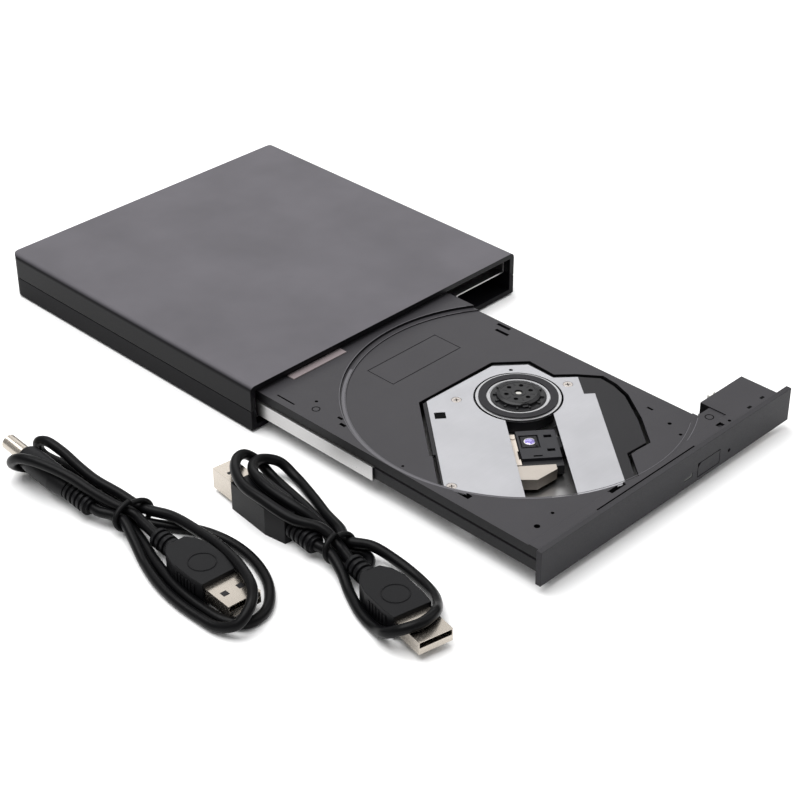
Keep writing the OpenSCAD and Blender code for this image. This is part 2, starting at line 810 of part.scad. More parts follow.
module latch_hook() {
    color([0.85, 0.85, 0.8])
    difference() {
        union() {
            rod(hook_x, hook_y, 10.9, 13.2, 2.2);
            block([hook_x - 1.9, hook_y, 10.9], [hook_x + 0.1, hook_y + 9.6, 12.6]);
            block([hook_x, hook_y + 8.8, 10.9], [hook_x + 1.5, hook_y + 9.6, 12.6]);
        }
        rod(hook_x, hook_y, 0, 20, 0.8);
    }
}

// ---- Power lead ----

// Children are drawn with the plug's cord end at the origin and its tip towards +Y
module at_dc_plug() {
    translate(dc_end) rotate([dc_tilt, 0, dc_turn]) children();
}

module dc_plug_body() {
    color([0.07, 0.07, 0.07])
    at_dc_plug() rotate([-90, 0, 0]) union() {
        cylinder(r = 2.6, h = 12);
        for (i = [0:4]) translate([0, 0, 1 + 2.3 * i]) cylinder(r = 3.4, h = 1.2);
        translate([0, 0, 12]) rotate_extrude() polygon([
            [0, 0], [3.4, 0], [4.4, 7], [4.4, 18], [3.9, 23], [3.2, 24], [0, 24]
        ]);
    }
}

module dc_plug_barrel() {
    color([0.85, 0.82, 0.72])
    at_dc_plug() rotate([-90, 0, 0]) translate([0, 0, 36]) difference() {
        cylinder(r = barrel_r, h = 9.5);
        translate([0, 0, 1]) cylinder(r = 1.05, h = 10);
    }
}

module power_cord_tail() {
    color([0.07, 0.07, 0.07]) tube(power_tail, cord_d / 2);
}

// Outline of a bundle of loops: a bar to the rear and a ring round the plug at the front,
// each as [x0, x1, y0, y1]
module hank_outline(bar, loop, r, band) {
    rounded_rect(bar[0], bar[1], bar[2], bar[3], 3);
    difference() {
        rounded_rect(loop[0], loop[1], loop[2], loop[3], r);
        rounded_rect(loop[0] + band, loop[1] - band, loop[2] + band, loop[3] - band, r - band);
    }
}

module power_cord_hank() {
    color([0.07, 0.07, 0.07])
    translate([0, 0, hank_z0]) linear_extrude(hank_z1 - hank_z0)
        union() {
            hank_outline([-128.4, -120.8, -26, 34], [-146.5, -115, -86, -22.5], 12, 5.5);
            translate([-134.6, -26]) square([13.8, 11.5]);
        }
}

// Plug body towards -Y with its neck's end at the origin, standing on the table
module usb_a_body() {
    translate([0, 0, 4.9]) rotate([90, 0, 0]) {
        cylinder(r = 2.6, h = 10);
        for (i = [0:3]) translate([0, 0, 0.8 + 2.4 * i]) cylinder(r = 3.4, h = 1.3);
    }
    translate([0, 0, 1]) linear_extrude(7.8) polygon([
        [-3.4, -10], [-5.8, -13], [-7.2, -18], [-7.2, -28], [-6.6, -33], [6.6, -33], [7.2, -28], [7.2, -18],
        [5.8, -13], [3.4, -10]
    ]);
}

module usb_a_shell() {
    difference() {
        block([-6, -45, 2.65], [6, -33, 7.15]);
        block([-5.7, -46, 4.9], [5.7, -34, 6.85]);
    }
}

module at_power_usb() {
    translate([power_usb_x, power_usb_y, 0]) rotate([0, 0, power_usb_turn]) children();
}

module power_usb_body() {
    color([0.07, 0.07, 0.07]) at_power_usb() usb_a_body();
}

module power_usb_shell() {
    color([0.85, 0.82, 0.75]) at_power_usb() usb_a_shell();
}

// ---- Data lead ----

// Children are drawn with the plug's cord end at the origin and its tip towards +Y
module at_usb_b_plug() {
    translate([usb_b_plug[0], usb_b_plug[1], 0]) rotate([0, 0, usb_b_plug_turn]) children();
}

module usb_b_plug_body() {
    color([0.07, 0.07, 0.07])
    at_usb_b_plug() {
        translate([0, 0, 5]) rotate([-90, 0, 0]) {
            cylinder(r = 2.6, h = 12);
            for (i = [0:4]) translate([0, 0, 1 + 2.3 * i]) cylinder(r = 3.4, h = 1.2);
        }
        linear_extrude(10.4) polygon([[-3.4, 12], [-5.4, 20], [-5.4, 38], [5.4, 38], [5.4, 20], [3.4, 12]]);
    }
}

module usb_b_plug_shell() {
    color([0.85, 0.82, 0.78])
    at_usb_b_plug() difference() {
        block([-4.2, 38, 1.4], [4.2, 50, 9]);
        block([-2.9, 41, 3.5], [2.9, 51, 6.9]);
    }
}

module data_cord_tail() {
    color([0.07, 0.07, 0.07]) tube(data_tail, cord_d / 2);
}

module data_cord_hank() {
    color([0.07, 0.07, 0.07])
    translate([0, 0, hank_z0]) linear_extrude(hank_z1 - hank_z0) difference() {
        union() {
            rounded_rect(-88.4, -77.4, -72, -26, 5);
            translate([-99.6, -80.5]) square([9.6, 6]);
            translate([-94, -80.5]) square([4, 9]);
            translate([-94, -74.5]) square([10, 9]);
            translate([data_usb[0], data_usb[1]]) rotate([0, 0, data_usb_turn])
                rounded_rect(-14.5, 14.5, -38, 6, 12);
        }
        translate([data_usb[0], data_usb[1]]) rotate([0, 0, data_usb_turn])
            rounded_rect(-9, 9, -60, 0, 6);
    }
}

module at_data_usb() {
    translate([data_usb[0], data_usb[1], 0]) rotate([0, 0, data_usb_turn]) children();
}

module data_usb_body() {
    color([0.07, 0.07, 0.07]) at_data_usb() usb_a_body();
}

module data_usb_shell() {
    color([0.85, 0.82, 0.75]) at_data_usb() usb_a_shell();
}

module cable_ties() {
    color([0.05, 0.05, 0.05])
    for (t = ties) difference() {
        block([t[0] - tie_t, t[2] - tie_w / 2, 0.2], [t[1] + tie_t, t[2] + tie_w / 2, hank_z1 + tie_t]);
        block([t[0], t[2] - tie_w, hank_z0], [t[1], t[2] + tie_w, hank_z1]);
    }
}

case_bottom();
case_top();
rubber_feet();
case_screws();
chassis_pan();
drive_cover();
rail_guides();
main_board();
flex_cable();
bridge_board();
slim_connector();
usb_b_socket();
usb_b_insert();
dc_jack();
rail_left();
rail_right();
tray_frame();
bezel();
light_pipe();
foam_strip();
tray_bottom_cover();
tray_screws();
pickup_frame();
pickup_cover_plate();
plate_screws();
dampers();
spindle_motor();
spindle_bush();
guide_rods();
sled_motor();
front_board();
latch_solenoid();
spindle_shaft();
rotor();
turntable();
turntable_pad();
disc_hub();
clamp_claws();
pickup_carriage();
laser_block();
objective_cover();
pickup_flex();
lens_holder();
lens();
lead_screw();
eject_button();
latch_hook();
dc_plug_body();
dc_plug_barrel();
power_cord_tail();
power_cord_hank();
power_usb_body();
power_usb_shell();
usb_b_plug_body();
usb_b_plug_shell();
data_cord_tail();
data_cord_hank();
data_usb_body();
data_usb_shell();
cable_ties();
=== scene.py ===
import json
import math

import bmesh
import bpy
from mathutils import Matrix, Vector


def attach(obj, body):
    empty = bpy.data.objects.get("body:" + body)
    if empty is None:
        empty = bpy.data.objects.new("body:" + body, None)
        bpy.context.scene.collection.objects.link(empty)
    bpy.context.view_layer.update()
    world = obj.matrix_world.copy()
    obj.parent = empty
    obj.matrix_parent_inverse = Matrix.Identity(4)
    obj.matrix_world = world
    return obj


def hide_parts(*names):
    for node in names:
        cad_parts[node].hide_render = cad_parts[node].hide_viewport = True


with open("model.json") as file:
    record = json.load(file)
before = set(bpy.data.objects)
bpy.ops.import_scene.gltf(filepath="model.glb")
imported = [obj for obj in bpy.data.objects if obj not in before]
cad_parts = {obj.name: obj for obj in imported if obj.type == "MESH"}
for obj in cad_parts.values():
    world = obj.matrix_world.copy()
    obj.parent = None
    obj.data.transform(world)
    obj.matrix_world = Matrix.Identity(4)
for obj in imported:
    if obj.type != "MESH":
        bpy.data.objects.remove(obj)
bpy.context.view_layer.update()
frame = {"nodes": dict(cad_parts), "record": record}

MM = 0.001


def v(*xyz):
    """A point given in millimetres, in metres."""
    return Vector(xyz) * MM


# ---- Camera: where the photograph was taken from ----

def make_camera():
    azimuth, elevation, roll = (math.radians(a) for a in (-45.18, 33.05, -0.226))
    back = Vector((math.sin(azimuth) * math.cos(elevation), -math.cos(azimuth) * math.cos(elevation),
                   math.sin(elevation)))
    right = Vector((math.cos(azimuth), math.sin(azimuth), 0))
    up = back.cross(right)
    x = right * math.cos(roll) + up * math.sin(roll)
    y = up * math.cos(roll) - right * math.sin(roll)
    data = bpy.data.cameras.new("photo_camera")
    data.sensor_width = 36
    data.lens = 86.89
    data.clip_start, data.clip_end = 0.01, 20
    cam = bpy.data.objects.new("photo_camera", data)
    bpy.context.scene.collection.objects.link(cam)
    axes = Matrix((x, y, back)).transposed().to_4x4()
    cam.matrix_world = Matrix.Translation(v(-418.74, -425.12, 368.85)) @ axes
    bpy.context.scene.camera = cam


make_camera()


# ---- Materials ----

class Nodes:
    """A new material with its Principled shader, and short calls that add nodes to it."""

    def __init__(self, name):
        self.material = bpy.data.materials.new(name)
        self.material.use_nodes = True
        self.tree = self.material.node_tree
        self.tree.nodes.clear()
        self.out = self.tree.nodes.new("ShaderNodeOutputMaterial")
        self.shader = self.tree.nodes.new("ShaderNodeBsdfPrincipled")
        self.link(self.shader, 0, self.out, "Surface")
        self.coords = self.tree.nodes.new("ShaderNodeTexCoord")

    def link(self, a, out, b, into):
        self.tree.links.new(a.outputs[out], b.inputs[into])

    def noise(self, scale, detail=3.0, stretch=(1, 1, 1), turn=0.0, rough=0.55):
        mapping = self.tree.nodes.new("ShaderNodeMapping")
        mapping.inputs["Scale"].default_value = stretch
        mapping.inputs["Rotation"].default_value = (0, 0, math.radians(turn))
        self.link(self.coords, "Object", mapping, "Vector")
        noise = self.tree.nodes.new("ShaderNodeTexNoise")
        noise.inputs["Scale"].default_value = scale
        noise.inputs["Detail"].default_value = detail
        noise.inputs["Roughness"].default_value = rough
        self.link(mapping, "Vector", noise, "Vector")
        return noise

    def ramp(self, source, low, high, from_low=0.3, from_high=0.7, out="Fac"):
        node = self.tree.nodes.new("ShaderNodeMapRange")
        node.inputs["From Min"].default_value = from_low
        node.inputs["From Max"].default_value = from_high
        node.inputs["To Min"].default_value = low
        node.inputs["To Max"].default_value = high
        self.link(source, out, node, "Value")
        return node

    def mix(self, factor, a, b):
        node = self.tree.nodes.new("ShaderNodeMix")
        node.data_type = "RGBA"
        self.link(factor, 0, node, "Factor")
        node.inputs[6].default_value = (*a, 1)
        node.inputs[7].default_value = (*b, 1)
        return node

    def paint_light_on_top(self, sides, lit_top_colour):
        """One tint on the sides and a lighter one where the surface faces up: painted light, the lamps'
        reflection on the tops painted into the colour.
        """
        split = self.tree.nodes.new("ShaderNodeSeparateXYZ")
        self.link(self.coords, "Normal", split, 0)
        node = self.mix(self.ramp(split, 0.0, 1.0, 0.5, 0.95, out="Z"), (0, 0, 0), (1, 1, 1))
        self.link(sides, 2, node, 6)
        self.link(lit_top_colour, 2, node, 7)
        return node

    def bump(self, source, distance, strength=1.0, normal=None, out="Fac"):
        node = self.tree.nodes.new("ShaderNodeBump")
        node.inputs["Distance"].default_value = distance
        node.inputs["Strength"].default_value = strength
        self.link(source, out, node, "Height")
        if normal is not None:
            self.link(normal, 0, node, "Normal")
        return node

    def edge(self, radius):
        node = self.tree.nodes.new("ShaderNodeBevel")
        node.samples = 4
        node.inputs["Radius"].default_value = radius
        return node


def shade(base, by):
    return tuple(max(0.0, min(1.0, c * by)) for c in base)


def plastic(name, colour, rough=0.5, grain=0.25, depth=0.02, spread=0.06, edge=0.15, mottle=0.10,
            sheen=0.0, spec=0.3, lit_top_colour=None):
    """Moulded plastic or paint, with a lighter colour where it faces up if one is given: painted light on
    its tops.

    grain is the texture's size, depth its height and edge the rounding, in millimetres.
    """
    n = Nodes(name)
    fine = n.noise(1000 / grain, 2.0)
    broad = n.noise(38, 3.0)
    blend = n.ramp(broad, 0.0, 1.0)
    tint = n.mix(blend, shade(colour, 1 - mottle), shade(colour, 1 + mottle))
    # painted light: upward faces take the lighter top colour
    if lit_top_colour is not None:
        tint = n.paint_light_on_top(tint, n.mix(blend, shade(lit_top_colour, 1 - mottle), shade(lit_top_colour, 1 + mottle)))
    n.link(tint, 2, n.shader, "Base Color")
    n.link(n.ramp(fine, rough - spread, rough + spread), 0, n.shader, "Roughness")
    n.link(n.bump(fine, depth * MM, 0.6, n.edge(edge * MM)), 0, n.shader, "Normal")
    n.shader.inputs["Specular IOR Level"].default_value = spec
    n.shader.inputs["Sheen Weight"].default_value = sheen
    return n.material


def metal(name, colour, rough=0.3, brushed=None, grain=0.4, depth=0.004, edge=0.1, mottle=0.06, spread=0.08):
    """Bare metal. brushed is the direction of its brush lines in degrees from +X, if it has any."""
    n = Nodes(name)
    if brushed is None:
        fine = n.noise(1000 / grain, 3.0)
    else:
        fine = n.noise(1000 / grain, 4.0, (0.02, 1, 1), -brushed, 0.7)
    broad = n.noise(45, 3.0)
    tint = n.mix(n.ramp(broad, 0.0, 1.0), shade(colour, 1 - mottle), shade(colour, 1 + mottle))
    n.link(tint, 2, n.shader, "Base Color")
    n.shader.inputs["Metallic"].default_value = 1.0
    n.link(n.ramp(fine, rough - spread, rough + spread), 0, n.shader, "Roughness")
    n.link(n.bump(fine, depth * MM, 0.5, n.edge(edge * MM)), 0, n.shader, "Normal")
    return n.material


def glass_material():
    n = Nodes("coated_lens")
    rings = n.tree.nodes.new("ShaderNodeLayerWeight")
    rings.inputs["Blend"].default_value = 0.35
    n.link(n.mix(rings, (0.22, 0.16, 0.5), (0.75, 0.85, 1.0)), 2, n.shader, "Base Color")
    n.shader.inputs["Roughness"].default_value = 0.05
    n.shader.inputs["Metallic"].default_value = 0.35
    n.shader.inputs["Coat Weight"].default_value = 1.0
    n.link(n.bump(n.noise(3000, 1.0), 0.000002, 0.2), 0, n.shader, "Normal")
    return n.material


MATERIALS = {
    "shell_lower": plastic("shell_lower_grain", (0.003, 0.0028, 0.0037), 0.48, 0.35, 0.012, edge=0.3,
                           spec=0.08),
    # the lighter top colour is painted light: the lamps' reflection on the shell's top
    "shell_upper": plastic("shell_upper_paint", (0.003, 0.0028, 0.0037), 0.42, 0.3, 0.006, edge=0.3,
                           spread=0.04, spec=0.12, lit_top_colour=(0.09, 0.0855, 0.0955)),
    "black_rubber": plastic("black_rubber", (0.016, 0.0155, 0.018), 0.6, 0.3, 0.02, spec=0.2),
    "dark_screw": metal("dark_zinc", (0.3, 0.3, 0.32), 0.35),
    "pan_steel": metal("stamped_steel", (0.4, 0.395, 0.395), 0.34, 90),
    "black_plastic": plastic("black_plastic", (0.01, 0.0095, 0.011), 0.45, 0.3, 0.012, spec=0.22),
    "circuit_board": plastic("solder_resist", (0.01, 0.09, 0.035), 0.3, 0.5, 0.006),
    "flex": plastic("flex_film", (0.55, 0.49, 0.43), 0.4, 0.5, 0.004),
    "shield_steel": metal("shield_steel", (0.72, 0.7, 0.67), 0.22),
    "white_plastic": plastic("white_plastic", (0.75, 0.74, 0.7), 0.4, 0.3, 0.006),
    "rail_steel": metal("rail_steel", (0.5, 0.495, 0.49), 0.34, 90),
    # the lighter top colour is painted light on the tray's top
    "tray_plastic": plastic("tray_grain", (0.004, 0.0038, 0.0047), 0.44, 0.3, 0.014, mottle=0.06, spec=0.18,
                            lit_top_colour=(0.036, 0.0345, 0.038)),
    # the lighter top colour is painted light on the bezel's top
    "bezel_plastic": plastic("bezel_grain", (0.012, 0.0115, 0.0145), 0.46, 0.28, 0.018, edge=0.25, spec=0.22,
                             lit_top_colour=(0.024, 0.023, 0.026)),
    "clear_plastic": plastic("light_pipe", (0.03, 0.035, 0.03), 0.15, 0.5, 0.002),
    "foam": plastic("foam_strip", (0.2, 0.165, 0.17), 0.9, 0.25, 0.05, sheen=0.3),
    "plate_steel": metal("brushed_plate", (0.46, 0.46, 0.48), 0.38, 50.4, 0.25, 0.003),
    "plate_screw": metal("bright_screw", (0.5, 0.46, 0.43), 0.3),
    "motor_steel": metal("motor_steel", (0.55, 0.55, 0.55), 0.35),
    "bronze": metal("sintered_bronze", (0.65, 0.42, 0.2), 0.4),
    "rod_steel": metal("ground_rod", (0.5, 0.49, 0.46), 0.2),
    "copper_coil": metal("copper_wire", (0.75, 0.35, 0.15), 0.35),
    "rotor_metal": plastic("rotor_coat", (0.02, 0.02, 0.022), 0.35, 0.3, 0.004),
    "turntable_metal": metal("turned_metal", (0.45, 0.45, 0.46), 0.34),
    "hub_plastic": plastic("hub_plastic", (0.01, 0.01, 0.011), 0.34, 0.3, 0.006, spec=0.25),
    "cast_metal": plastic("dark_casting", (0.014, 0.014, 0.0155), 0.42, 0.4, 0.02),
    "laser_metal": metal("laser_case", (0.5, 0.455, 0.41), 0.42),
    "cover_plastic": plastic("cover_plastic", (0.014, 0.014, 0.017), 0.42, 0.3, 0.01),
    "lens_glass": glass_material(),
    "plug_black": plastic("plug_black", (0.004, 0.004, 0.0048), 0.42, 0.3, 0.01, edge=0.5, spec=0.14),
    "nickel": metal("nickel", (0.5, 0.455, 0.4), 0.26, None, 0.5, 0.0004, spread=0.04),
    "cord_black": plastic("cord_jacket", (0.0025, 0.0025, 0.0029), 0.34, 0.5, 0.01, spec=0.1),
    # lighter grey for rims and a ledge: edge wear with a painted highlight where the edges catch the light
    "edge_wear_and_highlight": plastic("edge_wear_and_highlight", (0.1, 0.097, 0.106), 0.5, 0.3, 0.01),
    # near-black for holes and pockets: painted shade where the light does not reach
    "painted_hollow_shade": plastic("painted_hollow_shade", (0.002, 0.002, 0.0022), 0.7, 0.4, 0.01, spec=0.05),
    "tie_black": plastic("tie_black", (0.003, 0.003, 0.0033), 0.42, 0.4, 0.01, spec=0.12),
}
SLOT_OF = {s["node"]: s["material_slot"] for s in frame["record"]["subparts"]}

for name, obj in frame["nodes"].items():
    obj.data.materials.clear()
    obj.data.materials.append(MATERIALS[SLOT_OF[name]])


# ---- Building blocks ----

def add_mesh(name, verts, faces, slot, body):
    """A new piece that rides on a body. Vertices are in millimetres, in the frame of the CAD model.

    A slot that the record does not have is only a material here, so it is not declared.
    """
    mesh = bpy.data.meshes.new(name)
    mesh.from_pydata([tuple(Vector(p) * MM) for p in verts], [], faces)
    mesh.validate()
    bm = bmesh.new()
    bm.from_mesh(mesh)
    bmesh.ops.recalc_face_normals(bm, faces=bm.faces)
    bm.to_mesh(mesh)
    bm.free()
    for p in mesh.polygons:
        p.use_smooth = False
    obj = bpy.data.objects.new(name, mesh)
    bpy.context.scene.collection.objects.link(obj)
    mesh.materials.append(MATERIALS[slot])
    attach(obj, body)
    return obj


# Height of a cord's centreline where it lies on the table, in millimetres
LOWEST_Z = 1.78


def smooth_path(points, step=1.0):
    """A curve through the points (mm), closely spaced and not below the table: centripetal Catmull-Rom."""
    p = [Vector(q) for q in points]
    p = [p[0] * 2 - p[1]] + p + [p[-1] * 2 - p[-2]]
    out = []
    for i in range(1, len(p) - 2):
        a, b, c, d = p[i - 1:i + 3]
        t = [0]
        for m, n in ((a, b), (b, c), (c, d)):
            t.append(t[-1] + max((n - m).length, 1e-6) ** 0.5)
        count = max(2, round((c - b).length / step))
        for k in range(count):
            s = t[1] + (t[2] - t[1]) * k / count
            a1 = a * ((t[1] - s) / (t[1] - t[0])) + b * ((s - t[0]) / (t[1] - t[0]))
            a2 = b * ((t[2] - s) / (t[2] - t[1])) + c * ((s - t[1]) / (t[2] - t[1]))
            a3 = c * ((t[3] - s) / (t[3] - t[2])) + d * ((s - t[2]) / (t[3] - t[2]))
            b1 = a1 * ((t[2] - s) / (t[2] - t[0])) + a2 * ((s - t[0]) / (t[2] - t[0]))
            b2 = a2 * ((t[3] - s) / (t[3] - t[1])) + a3 * ((s - t[1]) / (t[3] - t[1]))
            out.append(b1 * ((t[2] - s) / (t[2] - t[1])) + b2 * ((s - t[1]) / (t[2] - t[1])))
    out.append(p[-2])
    return [Vector((q.x, q.y, max(q.z, LOWEST_Z))) for q in out]


def cord_piece(name, path, radius, slot, body):
    """A round cord along a path given in millimetres."""
    data = bpy.data.curves.new(name, "CURVE")
    data.dimensions = "3D"
    data.bevel_depth = radius * MM
    data.bevel_resolution = 5
    data.use_fill_caps = True
    spline = data.splines.new("POLY")
    spline.points.add(len(path) - 1)
    for q, p in zip(spline.points, path):
        q.co = (*(p * MM), 1)
    spline.use_smooth = True
    obj = bpy.data.objects.new(name, data)
    bpy.context.scene.collection.objects.link(obj)
    data.materials.append(MATERIALS[slot])
    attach(obj, body)
    return obj


# ---- Cords ----

BODY = "enclosure"
CORD_R = 1.75
# Each route starts at the plug's cord end and ends at the USB-A plug's neck, in millimetres
POWER_ROUTE = [
    (-135.2, -5, 5), (-135.3, -7, 5), (-134.9, -9, 5), (-134, -11, 5), (-133.3, -13, 5),
    (-133.2, -14.5, 5),
    # through the tie, and the outer front loop: left side, over the shell, right side
    (-132.9, -17.5, 5.3), (-135.6, -26, 3.6), (-139.4, -36, 1.85), (-142.6, -46, 1.8),
    (-144.4, -57, 1.8), (-144.6, -68, 1.8), (-144.1, -76, 2.4), (-141.2, -81.8, 5), (-136, -81.4, 8),
    (-130.6, -76.6, 9.3), (-126.2, -67, 9.3), (-122.9, -55, 8.2), (-121.4, -41, 7), (-121.4, -28, 6.1),
    (-124.5, -17.5, 5.5),
    # the right rear loop, over and back beneath itself
    (-125.6, -6, 6.3), (-126.8, 4, 7), (-126.9, 12, 8), (-126.5, 22, 9.4), (-127, 29.4, 10),
    (-127.7, 33, 8.6), (-127.4, 34.2, 5.8), (-126.6, 33, 3), (-125.4, 29.4, 1.8), (-124.4, 22, 1.8),
    (-124.4, 8, 1.8), (-125, -6, 1.8), (-126.5, -17.5, 1.8),
    # the inner front loop, lying on the table
    (-121.8, -27, 1.8), (-116.4, -36, 1.8), (-113.9, -47.8, 1.8), (-115.2, -60.5, 1.8),
    (-120.6, -72.6, 1.8), (-128.6, -80, 1.8), (-136, -80.6, 1.8), (-140.2, -75, 1.8),
    (-141.1, -65.4, 1.8), (-140.2, -53, 1.8), (-136.3, -37, 1.8), (-132.6, -26, 1.8),
    (-130.6, -17.5, 1.8),
    # the left rear loop: under the barrel plug and back over it
    (-129.5, -6, 1.8), (-129.3, 8, 1.8), (-129.4, 19, 1.8), (-130.4, 25.4, 1.8), (-133, 29.8, 2),
    (-136.8, 31.8, 3.6), (-139.9, 31.2, 6.6), (-141.2, 28.4, 10), (-140.8, 24.4, 12.4),
    (-139.5, 19.4, 13.2), (-137.6, 12.6, 13), (-135.6, 4.5, 12), (-133.6, -4, 9.5), (-131.2, -11, 7.2),
    (-128.6, -17.5, 5.6), (-129.4, -24, 5.2), (-130.4, -31.5, 4.9),
]
DATA_ROUTE = [
    (-98.8, -70.5, 5), (-98.7, -72, 5), (-98.6, -73.3, 5), (-98.6, -74.5, 5),
    # through the tie, and the front loop round the plug and over its shell
    (-98.7, -76.5, 5), (-101.2, -84, 3.4), (-105.4, -92, 1.9), (-109.6, -101, 1.8), (-112, -110, 2.4),
    (-113.6, -116.3, 5.6), (-111.4, -121.2, 8.6), (-106.5, -123.4, 9.2), (-100.6, -122.6, 8.8),
    (-94.4, -118, 5.6), (-88.4, -110.4, 2.6), (-85.4, -101, 1.8), (-85.2, -92, 3), (-87.2, -83.5, 5.2),
    (-90.8, -76.5, 5.5),
    # the right rear loop: out along the table, up and back over the square plug
    (-86.4, -68, 3.6), (-82.4, -57, 1.8), (-78.6, -46, 1.8), (-75.9, -36, 2.2), (-76.8, -29.6, 5.4),
    (-82.4, -27.6, 8.6), (-88.6, -30, 10.8), (-93.6, -36.5, 12.4), (-95.8, -46, 12.4),
    (-95.4, -56, 11.4), (-93.6, -63, 8.8), (-92.6, -69, 5), (-94.6, -73.6, 2.4), (-96, -77, 1.8),
    # a tight turn beneath the plug's neck
    (-97.1, -81, 1.8), (-95.9, -84.8, 1.8), (-92.4, -86.2, 1.8), (-89.2, -84.2, 1.8),
    (-88.7, -80.6, 1.8), (-91.1, -76.7, 1.8),
    # the left rear loop, inside the other one and back over the square plug
    (-89.4, -68, 1.8), (-86.6, -58, 1.8), (-84.2, -48, 1.8), (-82.4, -38, 1.8), (-81.2, -30, 2.6),
    (-82, -24.6, 6), (-85.4, -22.6, 9.4), (-90.1, -24.2, 11.4), (-96, -29.6, 12.4), (-100.2, -38, 12.4),
    (-101.2, -49, 12.4), (-99.6, -61, 10.4), (-95.2, -69.5, 8.8), (-94.7, -76.5, 5.6),
    (-95.8, -80.5, 5.2), (-97, -84.5, 4.9),
]


def make_cord(name, route, *nodes):
    obj = cord_piece(name, smooth_path(route), CORD_R, "cord_black", BODY)
    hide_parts(*nodes)
    return obj


POWER_CORD = make_cord("power_cord", POWER_ROUTE, "power_cord_tail", "power_cord_hank")
DATA_CORD = make_cord("data_cord", DATA_ROUTE, "data_cord_tail", "data_cord_hank")
# What hangs on each cord: its plugs, and the pieces that the functions below add to them
ON_POWER_CORD = [frame["nodes"][n] for n in
                 ("dc_plug_body", "dc_plug_barrel", "power_usb_body", "power_usb_shell")]
ON_DATA_CORD = [frame["nodes"][n] for n in
                ("usb_b_plug_body", "usb_b_plug_shell", "data_usb_body", "data_usb_shell")]


# ---- Ties: a ring of round wire about each hank ----

TIE_R = 0.9
TIE_STEPS = 40


def tie_ring(name, x0, x1, y, z1, lean):
    """A ring about the bundle from x0 to x1 (mm), leaning along Y, with its ends side by side."""
    points = []
    cx, cz = (x0 + x1) / 2, (z1 + 1.9) / 2
    rx, rz = (x1 - x0) / 2 + TIE_R, z1 / 2
    for i in range(TIE_STEPS + 1):
        a = 2 * math.pi * i / TIE_STEPS
        side = y + lean * math.cos(a) + 1.2 * (i / TIE_STEPS - 0.5)
        points.append(Vector((cx + rx * math.sin(a), side, cz + rz * math.cos(a))))
    return cord_piece(name, points, TIE_R, "tie_black", BODY)


def make_ties():
    for name, x0, x1, y, on_cord in (("power_tie_ring", -134.6, -122.6, -17.5, ON_POWER_CORD),
                                     ("data_tie_ring", -99.6, -90, -76.5, ON_DATA_CORD)):
        ring = tie_ring(name, x0, x1, y, 8.2, 1.2)
        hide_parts("cable_ties")
        on_cord.append(ring)


make_ties()


# ---- Small visible details ----

def box_piece(name, low, high, slot, body, turn=None):
    """A box between two corners (mm). turn is (x, y, degrees): its turn about Z, then its shift."""
    corners = [(x, y, z) for x in (low[0], high[0]) for y in (low[1], high[1]) for z in (low[2], high[2])]
    if turn is not None:
        a = math.radians(turn[2])
        corners = [(turn[0] + x * math.cos(a) - y * math.sin(a),
                    turn[1] + x * math.sin(a) + y * math.cos(a), z) for x, y, z in corners]
    faces = [(0, 1, 3, 2), (4, 6, 7, 5), (0, 4, 5, 1), (2, 3, 7, 6), (0, 2, 6, 4), (1, 5, 7, 3)]
    return add_mesh(name, corners, faces, slot, body)


def ring_piece(name, profile, slot, body, place, steps=64, bend=None):
    """A profile of (r, z) points turned about the vertical through place. bend(angle) scales the radius."""
    verts, faces = [], []
    n = len(profile)
    for k in range(steps):
        a = 2 * math.pi * k / steps
        scale = bend(a) if bend else 1.0
        verts += [(place[0] + rr * scale * math.cos(a), place[1] + rr * scale * math.sin(a), z)
                  for rr, z in profile]
    for k in range(steps):
        for i in range(n):
            j = (i + 1) % n
            faces.append((k * n + i, k * n + j, (k + 1) % steps * n + j, (k + 1) % steps * n + i))
    return add_mesh(name, verts, faces, slot, body)


def arc_piece(name, radii, heights, angles, slot, body, place):
    """A thin flat band along part of a circle: its two radii, two heights and two angles in degrees."""
    steps = max(3, round((angles[1] - angles[0]) / 3))
    verts, faces = [], []
    for k in range(steps + 1):
        a = math.radians(angles[0] + (angles[1] - angles[0]) * k / steps)
        for rr, z in ((radii[0], heights[0]), (radii[1], heights[0]),
                      (radii[1], heights[1]), (radii[0], heights[1])):
            verts.append((place[0] + rr * math.cos(a), place[1] + rr * math.sin(a), z))
    for k in range(steps):
        for i in range(4):
            j = (i + 1) % 4
            faces.append((k * 4 + i, k * 4 + j, k * 4 + 4 + j, k * 4 + 4 + i))
    faces += [(3, 2, 1, 0), tuple(4 * steps + i for i in range(4))]
    return add_mesh(name, verts, faces, slot, body)


# Centre of the turntable, and the direction and distance of the lens from it
HUB = (-1.5, -67)
SLED_ANGLE = 230.4
LENS_S = 24.8
# Where each plug's cord end is and how far the plug is turned: x, y, degrees
POWER_USB = (-130.4, -31.5, -4)
DATA_USB = (-97, -84.5, -11.5)
USB_B = (-98.8, -70.5, -6)


